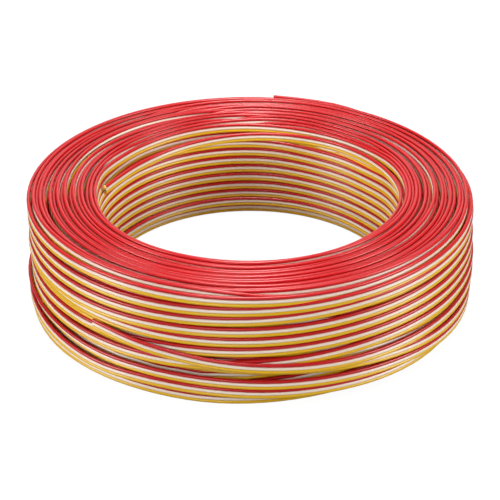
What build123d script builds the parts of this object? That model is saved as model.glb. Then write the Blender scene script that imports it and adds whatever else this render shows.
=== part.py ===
from build123d import *
import os
from math import cos, radians, sin

# Coil of flat three-core cable for LED strips, wound on edge into an open ring with no reel and no ties.
# Millimetres, +Z up, origin on the resting plane at the centre of the coil's eye.

os.makedirs("parts", exist_ok=True)

# Cable: three round insulated cores, bonded side by side into a ribbon: red over white over yellow
core_diameter = 1.6
core_pitch = 1.5
conductor_diameter = 0.76
core_count = 3

# Winding: rows stand on each other, and each layer lies over the one before
eye_radius = 69.5
layer_gap = 0.25
row_gap = 0.1
row_count = 11
main_layers = 16
outer_rows = 7

# Loose winding: neighbouring turns lean opposite ways, so each one shows as a band of its own
row_lean = 0.6
layer_lean = 0.7

# Start of the outer length: cut square at the top of the back, beside the gap that its second turn leaves
outer_start_angle = 83
outer_start_gap_angle = 12

# Inner cut end: springs off the wall of the eye, bends half way and touches the wall again at its tip
inner_end_root_angle = 110
inner_end_bend_angle = 140
inner_end_tip_angle = 170
inner_end_standoff = 3.1
inner_end_tip_gap = 0.8
inner_end_bend_radius = 25
inner_end_row = 8.9

# Outer cut end: lies on the outside of the coil, over the last turns
outer_end_root_angle = -122
outer_end_tip_angle = -130
outer_end_row = 5.2

# Bared wire at the cut ends
seat_clearance = 0.3
bore_clearance = 0.02
strip_length = 1.8
bore_depth = 6.0
tinned_tip_diameter = 1.9

core_radius = core_diameter / 2
conductor_radius = conductor_diameter / 2
tip_radius = tinned_tip_diameter / 2
ribbon_height = core_diameter + core_pitch * (core_count - 1)
row_pitch = ribbon_height + row_gap
layer_pitch = core_diameter + layer_gap
coil_height = row_pitch * row_count
main_radius = eye_radius + layer_pitch * main_layers
outer_radius = main_radius + layer_pitch
open_rows = row_count - outer_rows


def lean(edge, amount):
    """How far one edge between two turns lies back: every second edge does."""
    return amount * (edge % 2)


def wall_points(radius, first_row, end_row):
    """Up an outer wall, edge by edge between the rows."""
    edges = range(first_row, end_row + 1)
    return [(radius - lean(edge, row_lean), edge * row_pitch) for edge in edges]


def top_points(first_layer, end_layer):
    """Inward over the top, edge by edge between the layers, counted from the outside."""
    points = []
    for edge in range(first_layer, end_layer + 1):
        points.append((outer_radius - edge * layer_pitch, coil_height - lean(edge, layer_lean)))
    return points


def eye_points():
    """Down the wall of the eye from the edge under the top row."""
    edges = reversed(range(row_count))
    return [(eye_radius + lean(edge + 1, row_lean), edge * row_pitch) for edge in edges]


# Main length: all its turns as one ring, plain where the outer length covers it
main_profile = wall_points(main_radius, 0, open_rows)
main_profile += top_points(1, main_layers + 1)
main_profile += eye_points()

with BuildPart() as main_turns:
    with BuildSketch(Plane.XZ):
        with BuildLine():
            Polyline(*main_profile, close=True)
        make_face()
    revolve(axis=Axis.Z)

main_turns.part.label = "main_length_turns"
export_step(main_turns.part, "parts/main_length_turns.step")

# Outer length: a shorter cable wound over the upper rows, one layer thick
outer_profile = wall_points(outer_radius, open_rows, row_count)
outer_profile += top_points(1, 1)
outer_profile += [(main_radius, open_rows * row_pitch)]

top_row_middle = coil_height - row_pitch / 2

with BuildPart() as outer_turns:
    with BuildSketch(Plane.XZ):
        with BuildLine():
            Polyline(*outer_profile, close=True)
        make_face()
    revolve(axis=Axis.Z)
    with BuildSketch(Plane.XZ.rotated((0, 0, outer_start_angle))):
        with Locations((main_radius + layer_pitch / 2, top_row_middle)):
            Rectangle(layer_pitch * 2, row_pitch)
    revolve(axis=Axis.Z, revolution_arc=outer_start_gap_angle, mode=Mode.SUBTRACT)

outer_turns.part.label = "outer_length_turns"
export_step(outer_turns.part, "parts/outer_length_turns.step")


def on_ring(radius, angle, level):
    """A point on a level circle about the coil's axis."""
    return (radius * cos(radians(angle)), radius * sin(radians(angle)), level)


inner_seat_radius = eye_radius - seat_clearance - core_radius
outer_seat_radius = outer_radius + seat_clearance + core_radius
outer_end_middle_angle = (outer_end_root_angle + outer_end_tip_angle) / 2


def inner_end_path(core):
    """Two level runs with one bend, from where the cable leaves the wall to its tip."""
    level = inner_end_row * row_pitch + core * core_pitch
    return FilletPolyline(
        on_ring(inner_seat_radius, inner_end_root_angle, level),
        on_ring(inner_seat_radius - inner_end_standoff, inner_end_bend_angle, level),
        on_ring(inner_seat_radius - inner_end_tip_gap, inner_end_tip_angle, level),
        radius=inner_end_bend_radius,
    )


def outer_end_path(core):
    """A level arc on the outside of the coil."""
    level = outer_end_row * row_pitch + core * core_pitch
    return ThreePointArc(
        on_ring(outer_seat_radius, outer_end_root_angle, level),
        on_ring(outer_seat_radius, outer_end_middle_angle, level),
        on_ring(outer_seat_radius, outer_end_tip_angle, level),
    )


# Insulation at the cut ends: each core is a round sleeve with a flat where it is bonded to its neighbour
for core, colour in enumerate(["yellow", "white", "red"]):
    with BuildPart() as sleeves:
        for end_path in [inner_end_path, outer_end_path]:
            with BuildLine() as line:
                end_path(core)
            route = line.wires()[0]
            up = Vector(0, 0, 1)
            root_plane = Plane(origin=route @ 0, x_dir=up.cross(route % 0), z_dir=route % 0)
            with BuildSketch(root_plane):
                Circle(core_radius)
                for side in [-1, 1]:
                    if 0 <= core + side < core_count:
                        with Locations((0, side * core_pitch)):
                            Rectangle(core_diameter, core_pitch, mode=Mode.SUBTRACT)
            sweep(path=route)
            if end_path is inner_end_path:
                with BuildSketch(Plane(origin=route @ 1, z_dir=route % 1)):
                    Circle(conductor_radius + bore_clearance)
                extrude(amount=-bore_depth, mode=Mode.SUBTRACT)
    sleeves.part.label = f"{colour}_core_ends"
    export_step(sleeves.part, f"parts/{colour}_core_ends.step")

# Bared copper at the inner end: a straight wire in each bore, flush in the white core and proud in the
# other two, with a thicker tinned tip on the red one
with BuildPart() as wires:
    for core in range(core_count):
        with BuildLine() as line:
            inner_end_path(core)
        route = line.wires()[0]
        proud = 0 if core == 1 else strip_length
        with BuildSketch(Plane(origin=route @ 1 + (route % 1) * proud, z_dir=route % 1)):
            Circle(conductor_radius)
        extrude(amount=-(bore_depth + proud))
        if core == core_count - 1:
            with BuildSketch(Plane(origin=route @ 1, z_dir=route % 1)):
                Circle(tip_radius)
            extrude(amount=proud)

wires.part.label = "bare_conductors"
export_step(wires.part, "parts/bare_conductors.step")

print("coil height", round(coil_height, 2), "outer radius", round(outer_radius, 2))
print("rows", row_count, "of", round(row_pitch, 2), "and layers", main_layers + 1, "of", round(layer_pitch, 2))
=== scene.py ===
# %% [markdown]
# # A coil of flat three-core cable
# The object is about a hundred metres of flat cable for LED strips, wound on edge into an
# open ring. Three round cores in soft plastic, red, white and yellow, are bonded side by
# side into a ribbon. It stands on its yellow edge, so the top of the coil is all red and
# its walls are striped. Everything here is in metres, in the frame that the solids set.

# %% Load the solids
from math import cos, pi, radians

import bpy
import numpy as np
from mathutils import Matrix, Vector


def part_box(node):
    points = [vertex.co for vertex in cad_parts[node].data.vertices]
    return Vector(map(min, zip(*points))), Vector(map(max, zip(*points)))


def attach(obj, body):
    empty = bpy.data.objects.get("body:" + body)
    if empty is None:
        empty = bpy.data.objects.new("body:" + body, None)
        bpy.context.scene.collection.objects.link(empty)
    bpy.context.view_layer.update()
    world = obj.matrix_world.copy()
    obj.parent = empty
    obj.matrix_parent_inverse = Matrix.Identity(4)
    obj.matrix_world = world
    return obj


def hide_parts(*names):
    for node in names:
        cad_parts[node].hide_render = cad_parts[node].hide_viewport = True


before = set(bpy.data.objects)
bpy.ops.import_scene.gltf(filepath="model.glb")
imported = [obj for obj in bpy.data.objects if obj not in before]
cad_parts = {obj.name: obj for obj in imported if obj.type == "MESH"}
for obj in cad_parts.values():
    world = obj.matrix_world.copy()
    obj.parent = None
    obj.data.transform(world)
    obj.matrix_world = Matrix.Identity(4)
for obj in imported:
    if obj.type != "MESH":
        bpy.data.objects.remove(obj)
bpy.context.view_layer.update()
print("solids:", sorted(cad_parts))

# %% [markdown]
# ## The camera
# The photograph looks at the coil from the front and from about thirty degrees above the
# table, with a long lens, so the far rim is nearly as wide as the near one. The camera
# comes first, because every later choice is judged through it.

# %% Place the camera
camera_place = Vector((0, -0.5445, 0.3272))
camera_aim = Vector((0, 0, 0.0167))
lens_angle = radians(21.19)

camera_data = bpy.data.cameras.new("camera")
camera_data.angle = lens_angle
camera = bpy.data.objects.new("camera", camera_data)
camera.location = camera_place
camera.rotation_euler = (camera_aim - camera_place).to_track_quat("-Z", "Y").to_euler()
bpy.context.scene.collection.objects.link(camera)
bpy.context.scene.camera = camera
print("camera", round((camera_place - camera_aim).length, 3), "m from its aim")

# %% [markdown]
# ## The plan of the winding
# A ribbon on edge fills a coil as rows of bricks fill a wall: each turn has a row, counted
# from the top, and a layer, counted from the eye outwards. The sizes of both come from the
# solids, so the turns stay where the solids are.

# %% Sizes of the cable and of the coil
mm = 0.001
core_diameter = 1.6 * mm
core_radius = core_diameter / 2
core_pitch = 1.5 * mm
rows = 11
layers = 16
outer_rows = 7

main_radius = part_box("main_length_turns")[1].x
coil_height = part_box("main_length_turns")[1].z
outer_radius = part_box("outer_length_turns")[1].x
row_pitch = coil_height / rows
layer_pitch = outer_radius - main_radius
eye_radius = main_radius - layers * layer_pitch


def row_level(row):
    """Height of the white core in a row."""
    return coil_height - (row + 0.5) * row_pitch


def layer_radius(layer):
    """Distance of a layer's cores from the axis."""
    return eye_radius + (layer + 0.5) * layer_pitch


print("row", round(row_pitch / mm, 2), "mm, layer", round(layer_pitch / mm, 2), "mm")

# %% [markdown]
# ## The order of the turns
# The cable starts in the eye at the top, goes down one layer row by row, and comes up the
# next. Two lists of (layer, row) hold that order. The main length ends in the top row of one
# layer more. There a shorter length starts outside it, slips into its track and goes on down
# over the upper rows.

# %% List the turns
main_turns = []
for layer in range(layers):
    row_order = list(range(rows))
    if layer % 2:
        row_order.reverse()
    main_turns += [(layer, row) for row in row_order]
main_turns.append((layers, 0))
outer_turns = [(layers + 1, 0)] + [(layers, row) for row in range(1, outer_rows)]
print(len(main_turns), "turns in the main length and", len(outer_turns), "in the outer one")

# %% [markdown]
# ## Loose winding
# No hand winds a perfect coil. Each turn wanders in and out, up and down, and leans, in
# slow waves that its neighbours share. Sines with random heights would do that turn by
# turn, but then neighbours would cut through each other. So the heights are averaged over
# the neighbouring layers and rows, and the random draws are seeded. In the top row nothing
# lies above, so there every turn has ripples of its own, and every second one is nested
# higher, between the round cores of its neighbours.

# %% Waves along the turns
loose = np.random.default_rng(11)
wave_counts = np.array([1, 2, 3, 5])
radius_wander = 0.12 * mm
level_wander = 0.10 * mm
lean_wander = radians(1.6)
top_ripple = 0.09 * mm
nest = 0.7 * mm


def wave_heights(size):
    """Heights of the sine and cosine waves of every turn, alike in neighbours."""
    heights = loose.normal(size=(2, len(wave_counts), layers + 2, rows))
    for axis in (2, 3):
        heights = heights + np.roll(heights, 1, axis) + np.roll(heights, -1, axis)
    return heights * size / heights.std() / np.sqrt(wave_counts)[None, :, None, None]


radius_waves = wave_heights(radius_wander)
level_waves = wave_heights(level_wander)
lean_waves = wave_heights(lean_wander)
top_waves = loose.normal(size=level_waves.shape) * top_ripple


def wave(heights, layer, row, angle):
    """The waves of some turns, added up at some angles."""
    phases = wave_counts[:, None] * angle
    own = heights[:, :, layer, row]
    return (own[0] * np.cos(phases) + own[1] * np.sin(phases)).sum(axis=0)


print("waves for", layers + 2, "layers of", rows, "rows")

# %% [markdown]
# ## Bundles on the top
# Seen from above, the turns aren't evenly spaced. They lie tight in bundles, and a wider
# groove parts one bundle from the next. The grooves fade out and others open on the far
# side, so two sets of bundles are mixed by the angle. Inside a bundle each turn moves
# towards the middle one.

# %% Pull the top row into bundles
bundle_pull = 0.25 * mm
bundle_angle = radians(135)


def pulled(*bundles):
    """How far the top turn of each layer moves out, in bundles from a first layer to a last."""
    moves = np.zeros(layers + 2)
    for first, last in bundles:
        moves[first : last + 1] = np.linspace(1, -1, last - first + 1) * (last - first) / 2
    return moves * bundle_pull


near_pull = pulled((0, 2), (3, 6), (7, 11), (12, 15))
far_pull = pulled((0, 4), (5, 8), (9, 12), (13, 15))


def bundled(layer, angle):
    """How far some turns of the top row move out at some angles."""
    near_share = (1 + np.cos(angle - bundle_angle)) / 2
    return near_pull[layer] * near_share + far_pull[layer] * (1 - near_share)


print("bundles pull turns by up to", round(max(near_pull.max(), far_pull.max()) / mm, 2), "mm")

# %% [markdown]
# ## Slipped turns
# Here and there a turn has ridden up, and its white core shows beside the red. Other turns
# have sunk, or stand off the next one. Those slips are what the eye reads as hand winding,
# and no formula knows them, so they are listed as seen. Each line has the first and last
# layer, the first and last row, the two angles between which the turns slip in degrees, how
# far they go up and out in millimetres, and how far they lean in degrees. Layer 0 lines the
# eye, 15 is the main length's last, 16 the outer length, and 17 its start. The top comes first.

# %% Slips on the top
slips = [
    # single turns have ridden up and show their white core
    ((7, 7), (0, 0), (92, 190), 1.1, 0.1, 12),
    ((5, 5), (0, 0), (138, 196), 0.4, 0.1, 6),
    ((9, 9), (0, 0), (150, 196), 0.4, 0.1, 6),
    ((13, 13), (0, 0), (55, 125), 0.4, 0.1, 4),
    ((7, 7), (0, 0), (-44, 50), 0.6, 0.1, 5),
    ((9, 9), (0, 0), (14, 58), 0.5, 0.1, 6),
    ((15, 15), (0, 0), (-10, 26), 0.4, 0.1, 4),
    ((1, 1), (0, 0), (-84, -46), 0.4, -0.1, -5),
    # at the back some turns have sunk between their neighbours
    ((4, 4), (0, 0), (20, 160), -0.4, 0, 0),
    ((8, 8), (0, 0), (20, 160), -0.3, 0, 0),
    ((10, 10), (0, 0), (35, 175), -0.4, 0, 0),
    ((14, 14), (0, 0), (10, 120), -0.3, 0, 0),
    # at the front the outer turns lie in a mound, and the outermost stands off the next one
    ((12, 12), (0, 0), (-165, -12), 0.6, 0, 0),
    ((13, 13), (0, 0), (-165, -12), 0.8, 0, 0),
    ((14, 14), (0, 0), (-165, -8), 2.0, 0, -4),
    ((15, 15), (0, 0), (-168, -86), 2.2, -0.1, -4),
    ((16, 16), (0, 0), (-145, -75), 0.8, 0.2, -6),
]
print(len(slips), "slips on the top")

# %% [markdown]
# ## The wall of the eye
# Nothing holds the innermost turns, so they sag at the back of the eye. Under the inner end
# the second row is pressed back, and the turns behind it give way a little less each. On the
# right the rows below it sink, the upper ones further. What changes from turn to turn by the
# same step is a loop and not a list, in millimetres too.

# %% Slips in the eye
pressed_back = 1.5
pressed_less = 0.2
sunk = 2.4
sunk_less = 0.24

slips += [
    ((0, 0), (0, 0), (15, 168), -2.1, 0, 0),
    ((0, 0), (1, 1), (15, 168), -1.6, 0, 0),
    ((0, 0), (2, 9), (15, 168), -0.8, 0, 0),
    ((0, 0), (1, 9), (-5, 65), 0, 0, 9),
    ((0, 0), (9, 9), (15, 168), 0, -1.0, 0),
    ((1, 1), (0, 0), (20, 160), -1.8, 0, 0),
]
for layer in range(8):
    slips.append(((layer, layer), (1, 1), (30, 160), 0, pressed_back - pressed_less * layer, 0))
for row in range(1, 9):
    slips.append(((0, 0), (row, row), (18, 84), sunk_less * row - sunk, 0, 0))
print(len(slips), "slips with those in the eye")

# %% [markdown]
# ## The lower rows of the outer wall
# The lowest rows carry the rest, so they bulge and overhang the bottom one. Low on the left
# one turn bulges most, and its red core leads. It swells in three steps, each inside the one
# before, because a single long slip would make a shelf. The turns behind it follow.

# %% Slips in the lower rows
following = 0.7
first_following = 11

slips += [
    ((15, 15), (8, 9), (0, 360), 0, 1.6, 0),
    ((15, 15), (10, 10), (0, 360), 0, 0.6, 0),
    ((15, 15), (8, 9), (-45, 245), -1.6, 0, 0),
    ((15, 15), (8, 9), (-92, -66), -1.4, 0, 0),
    ((15, 15), (7, 7), (0, 360), 1.0, -0.3, 0),
    # the turn that bulges most, and the two below it
    ((15, 15), (8, 8), (-165, -105), 0, 0, 8),
    ((15, 15), (8, 8), (-258, -126), 1.2, 0.7, 4),
    ((15, 15), (8, 8), (-250, -136), 1.2, 0.8, 6),
    ((15, 15), (8, 8), (-242, -146), 1.2, 0.7, 6),
    ((15, 15), (9, 10), (-256, -112), 0, 0.8, 0),
    ((15, 15), (9, 10), (-248, -122), 0, 0.8, 0),
    ((15, 15), (9, 10), (-240, -132), 0, 0.7, 0),
    ((15, 15), (9, 9), (-256, -130), 1.2, 0, 0),
    ((15, 15), (9, 9), (-246, -142), 1.2, 0, 0),
]
for layer in range(first_following, layers - 1):
    out = following * (layer - first_following + 1)
    slips.append(((layer, layer), (7, 10), (-250, -124), 0, out, 0))
print(len(slips), "slips with those in the lower rows")

# %% [markdown]
# ## The outer length on the wall
# The wall bellies out on the right, and the outer length with it. That length hangs lower
# than the rows behind it, and its last turns leave gaps above them. On the left some of its
# turns lean, so that their yellow edges crowd together.

# %% Slips of the outer length
slips += [
    # the wall bellies out on the right below its upper rows
    ((15, 16), (1, 9), (-64, 80), 0, 0.7, 0),
    ((15, 16), (3, 9), (-54, 76), 0, 0.8, 0),
    ((15, 16), (5, 9), (-44, 72), 0, 0.8, 0),
    # the outer length hangs below the rows behind it
    ((16, 16), (1, 1), (0, 360), -0.8, 0, 0),
    ((16, 16), (2, 6), (0, 360), -1.6, 0, 0),
    # yellow edges crowd together on the left
    ((16, 16), (3, 3), (-190, -118), -0.6, 0.5, -6),
    ((16, 16), (4, 4), (-190, -118), 0.8, -0.2, -14),
    ((15, 15), (5, 5), (-190, -118), 1.4, 0.5, -22),
    # the last turns leave gaps above them
    ((16, 16), (5, 5), (-200, 60), -0.4, 0, 0),
    ((16, 16), (5, 5), (-200, -110), -1.1, 0, 0),
    ((16, 16), (6, 6), (0, 360), -2.9, 0, 0),
    # it starts outside the main length and slips into its track
    ((17, 17), (0, 0), (50, 110), 0.4, 0, 0),
    ((17, 17), (0, 0), (-255, 62), -2.0, -1.85, 0),
]
print(len(slips), "slips in all")

# %% [markdown]
# ## The place of a turn
# A turn's place at an angle is its row and layer, plus the waves, plus the slips it takes
# part in. Each slip fades in and out smoothly, because a cable can't step.

# %% Place some turns
slip_fade = radians(14)


def ease(share):
    """A smooth step from 0 to 1."""
    share = np.clip(share, 0, 1)
    return share * share * (3 - 2 * share)


def arc_share(angle, start, end):
    """1 between two angles in degrees, 0 outside them, and smooth at both ends."""
    if end - start == 360:
        return np.ones_like(angle)
    into = np.mod(angle - radians(start), 2 * pi)
    left = radians(end - start) - into
    return ease(into / slip_fade) * ease(left / slip_fade)


def place(turns, angle):
    """Radius, level and lean of each turn at its own angle, one row of three for each."""
    layer, row = turns.T
    radius = layer_radius(layer) + wave(radius_waves, layer, row, angle)
    radius = radius + bundled(layer, angle) * (row == 0)
    level = row_level(row) + wave(level_waves, layer, row, angle) * (row < rows - 1)
    raised = nest * (layer % 2) + wave(top_waves, layer, row, angle)
    level = level + raised * (row == 0) * (layer < layers)
    lean = wave(lean_waves, layer, row, angle)
    for (layer_a, layer_b), (row_a, row_b), (start, end), up, out, tilt in slips:
        slipped = (layer >= layer_a) & (layer <= layer_b) & (row >= row_a) & (row <= row_b)
        share = slipped * arc_share(angle, start, end)
        radius = radius + share * out * mm
        level = level + share * up * mm
        lean = lean + share * radians(tilt)
    return np.stack([radius, level, lean], axis=1)


radius, level, _ = place(np.array([(0, 0)]), np.zeros(1))[0] / mm
print("first turn on the right: radius", round(radius, 1), "mm, level", round(level, 1), "mm")

# %% [markdown]
# ## Jogs from turn to turn
# Each turn keeps its own row nearly all the way round and then jogs over to the next one:
# at the front in the walls, and at the back in the layers between, where the jogs come to
# the top. Where one set gives way to the other, the cable fills half of a hidden row only.
# On the outside the jogs are long: the lower rows climb across the front, and the outer
# length comes down over them. Places and lengths are counted in turns.

# %% Find the jogs
jog_drift = 0.05
back_shift = (0.52, 0.60)
half_filled_row = 5
outer_jog_end = 0.633
inner_jog, wall_jog, outer_jog = 0.08, 0.18, 0.29

first_back = main_turns.index((1, half_filled_row))
last_back = main_turns.index((layers - 2, half_filled_row))
main_jogs = np.arange(len(main_turns)) + 1 - jog_drift * np.array(main_turns)[:, 0] / layers
main_jogs[first_back:last_back] -= np.linspace(*back_shift, last_back - first_back)
main_jogs[last_back:] -= 1
outer_jogs = np.arange(len(outer_turns)) + outer_jog_end

jog_length = np.full(layers + 2, inner_jog)
jog_length[layers - 1] = wall_jog
jog_length[layers:] = outer_jog
print(last_back - first_back, "of", len(main_jogs) - 1, "jogs of the main length are at the back")

# %% [markdown]
# ## From turns to control points
# Seen from above the cable runs clockwise, so its angle falls. Twenty-four control points
# make a turn, which is enough for a circle and for every slip. Each point also notes whether
# its turn can be seen, because hidden turns get fewer points later.

# %% Wind some turns
points_per_turn = 24


def shown(turns):
    """Whether each turn is on the top, underneath or on a wall."""
    layer, row = turns.T
    return (row == 0) | (row == rows - 1) | (layer == 0) | (layer >= layers - 1)


def wind(turns, jogs, count, start_angle):
    """Angle, radius, level and lean of the points of a count of turns, and whether each is seen."""
    steps = np.arange(count * points_per_turn) / points_per_turn
    index = np.searchsorted(jogs, steps, side="right")
    index = np.minimum(index, len(turns) - 2)
    cells = np.array(turns)
    angle = start_angle - 2 * pi * steps
    layer = cells[index, 0]
    shift = ease((steps - jogs[index]) / jog_length[layer] + 1)[:, None]
    here = place(cells[index], angle)
    there = place(cells[index + 1], angle)
    seen = shown(cells[index]) | shown(cells[index + 1])
    return np.column_stack([angle, here + (there - here) * shift]), seen


print(points_per_turn, "points in a turn,", shown(np.array(main_turns)).sum(), "main turns in sight")

# %% [markdown]
# ## A smooth line
# A NURBS curve turns the control points into one flowing line. It stays a little inside its
# control points, so they stand out by just that much. The line is read back as plain
# points, because three cores have to follow it side by side and lean with it, which a bevel
# on the curve itself can't do.

# %% Read a smooth line
samples_per_span = 4
stand_out = 1 / cos(pi / points_per_turn)


def smooth_line(control):
    """Points along the curve of some control points, with the lean at each."""
    angle, radius, level, lean = control.T
    out = np.full(len(control), stand_out)
    out[[0, -1]] = 1
    points = np.column_stack(
        [radius * out * np.cos(angle), radius * out * np.sin(angle), level, np.ones(len(control))]
    )
    curve = bpy.data.curves.new("route", "CURVE")
    curve.dimensions = "3D"
    spline = curve.splines.new("NURBS")
    spline.points.add(len(points) - 1)
    spline.points.foreach_set("co", points.ravel())
    spline.order_u = 3
    spline.use_endpoint_u = True
    curve.resolution_u = samples_per_span
    spline.resolution_u = samples_per_span
    holder = bpy.data.objects.new("route", curve)
    mesh = bpy.data.meshes.new_from_object(holder)
    line = np.empty(len(mesh.vertices) * 3)
    mesh.vertices.foreach_get("co", line)
    bpy.data.meshes.remove(mesh)
    bpy.data.objects.remove(holder)
    bpy.data.curves.remove(curve)
    line = line.reshape(-1, 3)
    share = np.linspace(0, 1, len(line))
    return line, np.interp(share, np.linspace(0, 1, len(lean)), lean)


print("control points stand out by", round((stand_out - 1) * 100, 2), "percent")

# %% [markdown]
# ## Tools for finishes
# Plastic, copper, table and sky use the same few nodes: noise for what is uneven, a range
# that turns noise into a roughness, a mix of two colours, and a bump for fine relief. Small
# helpers build them, so each finish below reads as a recipe.

# %% Nodes that the finishes share


def linear(red, green, blue):
    """A colour as a screen shows it, 0 to 255, as light."""
    screen = np.array([red, green, blue]) / 255
    return (*np.where(screen < 0.04045, screen / 12.92, ((screen + 0.055) / 1.055) ** 2.4), 1)


def new_finish(name):
    """A new material with its node tree and its shader."""
    material = bpy.data.materials.new(name)
    material.use_nodes = True
    return material, material.node_tree, material.node_tree.nodes["Principled BSDF"]


def add_noise(tree, scale, detail):
    """Cloudy noise."""
    noise = tree.nodes.new("ShaderNodeTexNoise")
    noise.inputs["Scale"].default_value = scale
    noise.inputs["Detail"].default_value = detail
    return noise


def add_range(tree, share, low, high):
    """A number between two others."""
    span = tree.nodes.new("ShaderNodeMapRange")
    span.inputs["To Min"].default_value = low
    span.inputs["To Max"].default_value = high
    tree.links.new(share, span.inputs["Value"])
    return span


def add_mix(tree, share, second):
    """A colour between a first one, which the caller sets, and a second one."""
    mix = tree.nodes.new("ShaderNodeMix")
    mix.data_type = "RGBA"
    mix.inputs["B"].default_value = second
    tree.links.new(share, mix.inputs["Factor"])
    return mix


def add_relief(tree, height, strength, depth):
    """Fine relief that only bends the light."""
    bump = tree.nodes.new("ShaderNodeBump")
    bump.inputs["Strength"].default_value = strength
    bump.inputs["Distance"].default_value = depth
    tree.links.new(height, bump.inputs["Height"])
    return bump


print("screen grey 128 is", round(linear(128, 128, 128)[0], 3), "as light")

# %% [markdown]
# ## Soft plastic
# The insulation is extruded soft PVC: satin, a little uneven along its length, with fine
# lines from the die and a dusting of talc. Each core carries its own coordinates, along
# and around it, so streaks run along the cable however it is wound.

# %% Plastic for the cores
streak_scale, streak_detail = 1.6, 4
dust_scale, dust_detail = 1.2, 6
dust_start, dust_full = 0.5, 0.8
most_dust = 0.14
satin_smooth, satin_rough = 0.2, 0.36
die_line_strength = 0.12
die_line_depth = 0.05 * mm


def core_plastic(name, colour, deep, dusty):
    """Satin plastic between a deep and a plain tone, with a little dust."""
    material, tree, shader = new_finish(name)
    skin = tree.nodes.new("ShaderNodeAttribute")
    skin.attribute_name = "skin"
    streaks = add_noise(tree, streak_scale, streak_detail)
    dust = add_noise(tree, dust_scale, dust_detail)
    for noise in (streaks, dust):
        tree.links.new(skin.outputs["Vector"], noise.inputs["Vector"])

    tone = add_mix(tree, streaks.outputs["Fac"], colour)
    tone.inputs["A"].default_value = deep
    dust_share = add_range(tree, dust.outputs["Fac"], 0, most_dust)
    dust_share.inputs["From Min"].default_value = dust_start
    dust_share.inputs["From Max"].default_value = dust_full
    dusted = add_mix(tree, dust_share.outputs["Result"], dusty)
    tree.links.new(tone.outputs["Result"], dusted.inputs["A"])
    tree.links.new(dusted.outputs["Result"], shader.inputs["Base Color"])

    satin = add_range(tree, dust.outputs["Fac"], satin_smooth, satin_rough)
    tree.links.new(satin.outputs["Result"], shader.inputs["Roughness"])
    die_lines = add_relief(tree, streaks.outputs["Fac"], die_line_strength, die_line_depth)
    tree.links.new(die_lines.outputs["Normal"], shader.inputs["Normal"])
    return material


plastics = {
    "red": core_plastic(
        "red_insulation", linear(197, 16, 23), linear(170, 6, 13), linear(216, 80, 80)
    ),
    "white": core_plastic(
        "white_insulation", linear(244, 231, 215), linear(232, 215, 195), linear(248, 242, 234)
    ),
    "yellow": core_plastic(
        "yellow_insulation", linear(234, 186, 24), linear(216, 166, 14), linear(238, 212, 106)
    ),
}
print("plastics:", ", ".join(plastics))

# %% [markdown]
# ## Tubes
# Cores and copper strands are all round, so one helper makes a closed tube around any row
# of points, with a radius at each. A bevelled curve would be quicker to write, but it can't
# change its radius at a cut, and it carries no coordinates for the streaks.

# %% Build a tube


def axes(path):
    """Directions along a path, across it and over it, at each point."""
    ahead = np.gradient(path, axis=0)
    ahead /= np.linalg.norm(ahead, axis=1)[:, None]
    across = np.cross(ahead, (0, 0, 1))
    across /= np.linalg.norm(across, axis=1)[:, None]
    return ahead, across, np.cross(across, ahead)


def tube(middle, across, over, reach, count):
    """Corners and faces of a closed tube around some middle points, with a radius at each."""
    around = np.arange(count) * 2 * pi / count
    ring = across[:, None] * np.cos(around)[:, None] + over[:, None] * np.sin(around)[:, None]
    corners = (middle[:, None] + reach[:, None, None] * ring).reshape(-1, 3)
    first = np.arange(len(middle) - 1)[:, None] * count
    here = np.arange(count)
    there = (here + 1) % count
    quads = np.stack([first + here, first + count + here, first + count + there, first + there], axis=2)
    caps = [here.tolist(), ((len(middle) - 1) * count + here[::-1]).tolist()]
    return corners, quads.reshape(-1, 4).tolist() + caps


crease = radians(50)


def new_piece(name, corners, faces, finish):
    """A smooth piece with sharp creases, linked into the scene."""
    mesh = bpy.data.meshes.new(name)
    mesh.from_pydata(corners.tolist(), [], faces)
    mesh.shade_smooth()
    mesh.set_sharp_from_angle(angle=crease)
    mesh.materials.append(finish)
    piece = bpy.data.objects.new(name, mesh)
    bpy.context.scene.collection.objects.link(piece)
    return piece


print("edges of more than", round(np.degrees(crease)), "degrees stay sharp")

# %% [markdown]
# ## Cores
# One flat ribbon with painted stripes would be lighter, but the grooves between the cores
# catch the light. So each core is a tube of twelve sides that follows the ribbon's line, red
# above it and yellow below. At a cut the tube closes to a ring around its conductor and goes
# a little way in, so the cut shows the wall of the plastic. At the inner end the white sleeve
# gapes.

# %% Build one core
core_sides = 12
conductor_radius = 0.38 * mm
gaping_radius = 0.62 * mm
bore_depth = 1.5 * mm
skin_length = 60 * mm
core_offsets = {"red": core_pitch, "white": 0, "yellow": -core_pitch}


def core_line(line, lean, offset):
    """The middle of a core beside the ribbon's own line."""
    outward = line * (1, 1, 0)
    outward /= np.linalg.norm(outward, axis=1)[:, None]
    upward = np.array([0, 0, 1])
    return line + offset * (np.cos(lean)[:, None] * upward + np.sin(lean)[:, None] * outward)


def core_tube(name, path, along, plastic, last_bore):
    """A closed tube along a path, hollow where its conductor was cut."""
    ahead, across, over = axes(path)
    last = len(path) - 1
    keep = np.concatenate([[0, 0], np.arange(len(path)), [last, last]])
    middle = path[keep]
    middle[0] += ahead[0] * bore_depth
    middle[-1] -= ahead[-1] * bore_depth
    reach = np.full(len(keep), core_radius)
    reach[[0, 1]] = conductor_radius
    reach[[-2, -1]] = last_bore
    corners, faces = tube(middle, across[keep], over[keep], reach, core_sides)
    piece = new_piece(name, corners, faces, plastic)

    around = np.arange(core_sides) * 2 * pi / core_sides
    skin = np.empty((len(keep), core_sides, 3))
    skin[:, :, 0] = along[keep, None] / skin_length
    skin[:, :, 1] = np.cos(around)
    skin[:, :, 2] = np.sin(around)
    places = piece.data.attributes.new("skin", "FLOAT_VECTOR", "POINT")
    places.data.foreach_set("vector", skin.ravel())
    return piece


print("core of", core_sides, "sides, conductor", round(2 * conductor_radius / mm, 2), "mm across")

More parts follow.
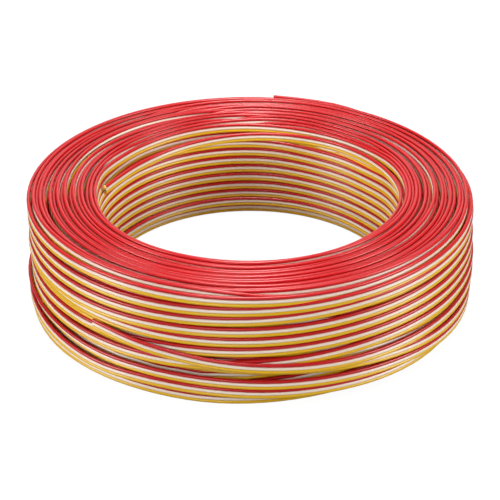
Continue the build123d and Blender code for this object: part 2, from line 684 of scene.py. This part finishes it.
# %% [markdown]
# ## A stretch of cable
# Each stretch is three cores along one line. Each of them takes the place of the plain rings and
# sleeves among the solids, and its length is printed. Hidden turns get a third of the points, which
# nobody can see and which keeps the model light.

# %% Lay a stretch of cable
hidden_step = 3


def thin_out(line, lean, seen):
    """Every point of the turns that are seen, and every third of the rest."""
    share = np.linspace(0, len(seen), len(line), endpoint=False)
    keep = np.array(seen)[share.astype(int)]
    keep[::hidden_step] = True
    keep[-1] = True
    return line[keep], lean[keep]


def lay_cable(name, line, lean, from_end, nodes):
    """The three cores of one stretch of cable, each in place of its solids, and their paths."""
    paths = {}
    for colour, offset in core_offsets.items():
        path = core_line(line, lean, offset)
        if from_end:
            path = path[::-1]
        along = np.concatenate([[0], np.cumsum(np.linalg.norm(np.diff(path, axis=0), axis=1))])
        last_bore = gaping_radius if from_end and colour == "white" else conductor_radius
        piece = core_tube(f"{name}_{colour}", path, along, plastics[colour], last_bore)
        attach(piece, "root")
        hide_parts(*nodes, f"{colour}_core_ends")
        print(piece.name, round(along[-1], 2), "m,", len(piece.data.polygons), "faces")
        paths[colour] = path
    return paths


print("hidden turns keep every point of", hidden_step)

# %% [markdown]
# ## The main length, from the eye outwards
# The inner end springs off the wall of the eye, comes back to it at its tip, and further back climbs
# into the top row. Its points are listed one by one. The rest of this stretch is the first layers. It
# ends deep inside the coil, where the next stretch goes on.

# %% Points of the inner end


def by_hand(points):
    """Control points, given in degrees and millimetres."""
    chosen = np.array(points, float)
    chosen[:, 0] = np.radians(chosen[:, 0])
    chosen[:, 1:3] *= mm
    chosen[:, 3] = np.radians(chosen[:, 3])
    return chosen


inner_end = by_hand(
    [
        # degrees, radius, level, lean
        (173, 67.8, 44.0, 0),
        (155, 64.9, 42.6, 0),
        (140, 64.4, 42.2, 0),
        (125, 65.0, 42.7, 0),
        (110, 65.8, 43.2, 0),
        (95, 66.9, 43.7, 0),
        (80, 67.6, 44.2, 0),
        (65, 68.0, 44.5, 0),
        (50, 68.2, 45.0, 0),
        (35, 68.4, 45.2, 0),
        (20, 68.5, 45.4, 0),
        (5, 68.5, 46.3, 0),
        (-10, 68.7, 47.9, 0),
        (-25, 69.0, 48.8, 0),
        (-40, 69.5, 49.2, 0),
        (-55, 70.0, 49.3, 0),
        (-70, 70.3, 49.4, 0),
        (-85, 70.4, 49.4, 0),
        (-100, 70.4, 49.4, 0),
    ]
)
print(len(inner_end), "points in the inner end")

# %% Lay the inner stretch
main_start = radians(-115)
split_turn = 94

main_control, main_seen = wind(main_turns, main_jogs, len(main_turns) - 1, main_start)
split_point = split_turn * points_per_turn
line, lean = smooth_line(np.vstack([inner_end, main_control[: split_point + 1]]))
line, lean = thin_out(line, lean, [True] * len(inner_end) + main_seen[:split_point].tolist())
inner_paths = lay_cable("main_inner", line, lean, True, ["main_length_turns"])

# %% [markdown]
# ## The main length, to its hidden end
# The second stretch takes over inside the coil and fills the outer layers. It ends half
# way round its last turn, at the back, where the outer length takes up its track.

# %% Lay the outer stretch
unwound = points_per_turn // 2 - 1
line, lean = smooth_line(main_control[split_point:-unwound])
line, lean = thin_out(line, lean, main_seen[split_point:-unwound])
rest_paths = lay_cable("main_outer", line, lean, False, ["main_length_turns"])

# %% [markdown]
# ## The outer length
# The shorter cable starts with a square cut at the top of the back and goes round six times, one row
# lower each time. Its last pass climbs back over its own turns across the front, and ends with a cut at
# the front left. Those last points are given one by one.

# %% Lay the outer length
outer_start = radians(83)
outer_end = by_hand(
    [
        # degrees, radius, level, lean
        (83, 100.0, 16.9, 0),
        (68, 100.8, 16.8, 0),
        (53, 102.2, 16.8, 0),
        (38, 102.4, 16.8, 0),
        (23, 102.4, 16.8, 0),
        (8, 102.4, 16.8, 0),
        (-7, 102.4, 16.8, 0),
        (-22, 102.3, 16.8, 0),
        (-37, 101.8, 16.8, 0),
        (-52, 101.2, 16.9, 0),
        (-67, 101.4, 17.4, 0),
        (-82, 101.8, 19.0, 0),
        (-97, 102.0, 21.2, 0),
        (-112, 102.0, 24.2, 0),
        (-121, 102.0, 26.0, 0),
        (-129.5, 102.1, 26.7, 0),
    ]
)
outer_control, _ = wind(outer_turns, outer_jogs, len(outer_turns) - 1, outer_start)
line, lean = smooth_line(np.vstack([outer_control, outer_end]))
outer_paths = lay_cable("outer_length", line, lean, False, ["outer_length_turns"])

# %% [markdown]
# ## Copper
# The bared wire is bright copper, a little tarnished and grained. A full metal would mirror
# the white tent and turn pale, so it is part metal and part colour.

# %% Finish of the copper
copper_metal = 0.6
tarnish_scale, tarnish_detail = 900, 5
copper_smooth, copper_rough = 0.22, 0.45
grain_strength = 0.2
grain_depth = 0.03 * mm

copper, tree, shader = new_finish("bare_copper")
shader.inputs["Metallic"].default_value = copper_metal
tarnish = add_noise(tree, tarnish_scale, tarnish_detail)
tone = add_mix(tree, tarnish.outputs["Fac"], linear(255, 230, 140))
tone.inputs["A"].default_value = linear(226, 170, 62)
tree.links.new(tone.outputs["Result"], shader.inputs["Base Color"])
dull = add_range(tree, tarnish.outputs["Fac"], copper_smooth, copper_rough)
tree.links.new(dull.outputs["Result"], shader.inputs["Roughness"])
grain = add_relief(tree, tarnish.outputs["Fac"], grain_strength, grain_depth)
tree.links.new(grain.outputs["Normal"], shader.inputs["Normal"])
print("copper with", len(tree.nodes), "nodes")

# %% [markdown]
# ## Strands
# Each core has a conductor of seven thin copper strands, six twisted around one, which
# shows wherever the cable was cut. They are short tubes that start inside the sleeve, so
# the ends look right from any side and hold no more than what can be seen.

# %% Twist the strands
strand_radius = 0.125 * mm
strand_count = 7
strand_sides = 8
strand_points = 6
strand_twist = radians(25) / mm

copper_corners = []
copper_faces = []


def add_wire(middle, across, over, reach, count):
    """One closed straight wire around some middle points, with a radius at each."""
    same = np.ones((len(middle), 1))
    corners, faces = tube(middle, same * across, same * over, reach, count)
    start = sum(len(part) for part in copper_corners)
    copper_corners.append(corners)
    copper_faces.extend([[start + corner for corner in face] for face in faces])


def add_strands(path, proud):
    """Twisted strands at the last point of a path, standing out by some length."""
    ahead, across, over = [direction[-1] for direction in axes(path[-2:])]
    reach = np.linspace(-bore_depth, proud, strand_points)
    for strand in range(strand_count):
        turn = strand * 2 * pi / (strand_count - 1) + (reach + bore_depth) * strand_twist
        off = min(strand, 1) * 2 * strand_radius
        side = off * np.cos(turn)[:, None] * across + off * np.sin(turn)[:, None] * over
        middle = path[-1] + reach[:, None] * ahead + side
        add_wire(middle, across, over, np.full(strand_points, strand_radius), strand_sides)
    return ahead, across, over


print(strand_count, "strands of", round(2 * strand_radius / mm, 2), "mm")

# %% [markdown]
# ## The cut ends
# At the inner end the yellow core's strands stand out, those of the red core are tinned
# into one bright bead, and those of the white core have slipped back into their sleeve. The
# bead is a short tube whose radius swells and closes. The other ends are cut flush.

# %% Copper at the cut ends
proud = {"red": 0.1 * mm, "white": -1.2 * mm, "yellow": 0.4 * mm}
bead_length = 1.5 * mm
bead_sides = 16
bead_profile = np.array([0.6, 0.95, 1.12, 1.18, 1.18, 1.1, 0.96, 0.66, 0.1]) * mm

for colour, path in inner_paths.items():
    ahead, across, over = add_strands(path, proud[colour])
    if colour == "red":
        along = np.linspace(0, bead_length, len(bead_profile))
        add_wire(path[-1] + along[:, None] * ahead, across, over, bead_profile, bead_sides)
for path in [*rest_paths.values(), *outer_paths.values()]:
    add_strands(path, 0)
for path in outer_paths.values():
    add_strands(path[::-1], 0)

copper_piece = new_piece("bare_copper", np.concatenate(copper_corners), copper_faces, copper)
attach(copper_piece, "root")
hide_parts("bare_conductors")
print("bare copper:", len(copper_faces), "faces")

# %% [markdown]
# ## Soft boxes
# The object is lit as in a light tent. A soft box straight above lights the red turns, and
# a large one behind puts the bright lines on them. Three more, at the front and at both
# sides, light the walls. Area lamps give the soft edges that small lamps would not.

# %% Hang the soft boxes
scene = bpy.context.scene
scene.view_settings.view_transform = "Standard"
coil_middle = Vector((0, 0, coil_height / 2))


def soft_box(name, spot, size, power):
    """A square area lamp that faces the coil."""
    lamp_data = bpy.data.lights.new(name, "AREA")
    lamp_data.shape = "SQUARE"
    lamp_data.size = size
    lamp_data.energy = power
    lamp = bpy.data.objects.new(name, lamp_data)
    lamp.location = spot
    lamp.rotation_euler = (coil_middle - Vector(spot)).to_track_quat("-Z", "Y").to_euler()
    scene.collection.objects.link(lamp)
    return lamp


soft_boxes = [
    # size in metres, power in watts
    soft_box("box_above", (0, 0.02, 1.0), size=0.3, power=10.5),
    soft_box("box_back", (0, 1.1, 0.56), size=1.0, power=2.6),
    soft_box("box_front", (-0.3, -1.1, 0.4), size=0.4, power=2.8),
    soft_box("box_left", (-1.0, -0.35, 0.42), size=0.5, power=8),
    soft_box("box_right", (1.0, -0.35, 0.42), size=0.5, power=8.5),
]
print(len(soft_boxes), "soft boxes")

# %% [markdown]
# ## The tent
# Around the lamps is a white tent. The camera sees it as plain white, but it gives the coil
# only a little light of its own, so that the grooves between the turns stay dark. What the
# plastic mirrors lies between the two.

# %% Raise the tent
tent_fill = 0.08
tent_white = 1.0
mirrored_share = 0.25


def add_math(tree, operation, first, second):
    """One sum on two numbers, the second from a socket or typed."""
    node = tree.nodes.new("ShaderNodeMath")
    node.operation = operation
    tree.links.new(first, node.inputs[0])
    if isinstance(second, float):
        node.inputs[1].default_value = second
    else:
        tree.links.new(second, node.inputs[1])
    return node.outputs["Value"]


world = bpy.data.worlds.new("tent")
scene.world = world
world.use_nodes = True
tree = world.node_tree
sky = tree.nodes["Background"]
sky.inputs["Color"].default_value = (1, 1, 1, 1)
ray = tree.nodes.new("ShaderNodeLightPath").outputs
clear = add_math(tree, "MAXIMUM", ray["Is Camera Ray"], ray["Is Transmission Ray"])
gloss = add_math(tree, "MULTIPLY", ray["Is Glossy Ray"], mirrored_share)
brighter = add_math(tree, "MAXIMUM", clear, gloss)
strength = add_range(tree, brighter, tent_fill, tent_white)
tree.links.new(strength.outputs["Result"], sky.inputs["Strength"])
print("tent of", len(tree.nodes), "nodes")

# %% [markdown]
# ## The table
# The coil lies on a white table that keeps a faint shadow. To the camera most of its white
# is a glow, so that it meets the tent without an edge. To the coil it is a dull grey, so
# that it doesn't light the walls from below. It belongs to the stage and not to the part.

# %% Set the table
table_half = 3
table_glow = 1.05
glow_share = 0.88
table_dull = 0.28
table_rough = 0.9

table_mesh = bpy.data.meshes.new("table")
table_corners = [(-1, -1, 0), (1, -1, 0), (1, 1, 0), (-1, 1, 0)]
table_mesh.from_pydata([Vector(corner) * table_half for corner in table_corners], [], [(0, 1, 2, 3)])
table = bpy.data.objects.new("table", table_mesh)
scene.collection.objects.link(table)

table_white, tree, paint = new_finish("table_white")
paint.inputs["Roughness"].default_value = table_rough
glow = tree.nodes.new("ShaderNodeEmission")
glow.inputs["Strength"].default_value = table_glow
camera_ray = tree.nodes.new("ShaderNodeLightPath").outputs["Is Camera Ray"]
tone = add_range(tree, camera_ray, table_dull, 1)
tree.links.new(tone.outputs["Result"], paint.inputs["Base Color"])
blend = tree.nodes.new("ShaderNodeMixShader")
tree.links.new(add_math(tree, "MULTIPLY", camera_ray, glow_share), blend.inputs["Fac"])
tree.links.new(paint.outputs["BSDF"], blend.inputs[1])
tree.links.new(glow.outputs["Emission"], blend.inputs[2])
tree.links.new(blend.outputs["Shader"], tree.nodes["Material Output"].inputs["Surface"])
table_mesh.materials.append(table_white)
print("table", 2 * table_half, "m wide")
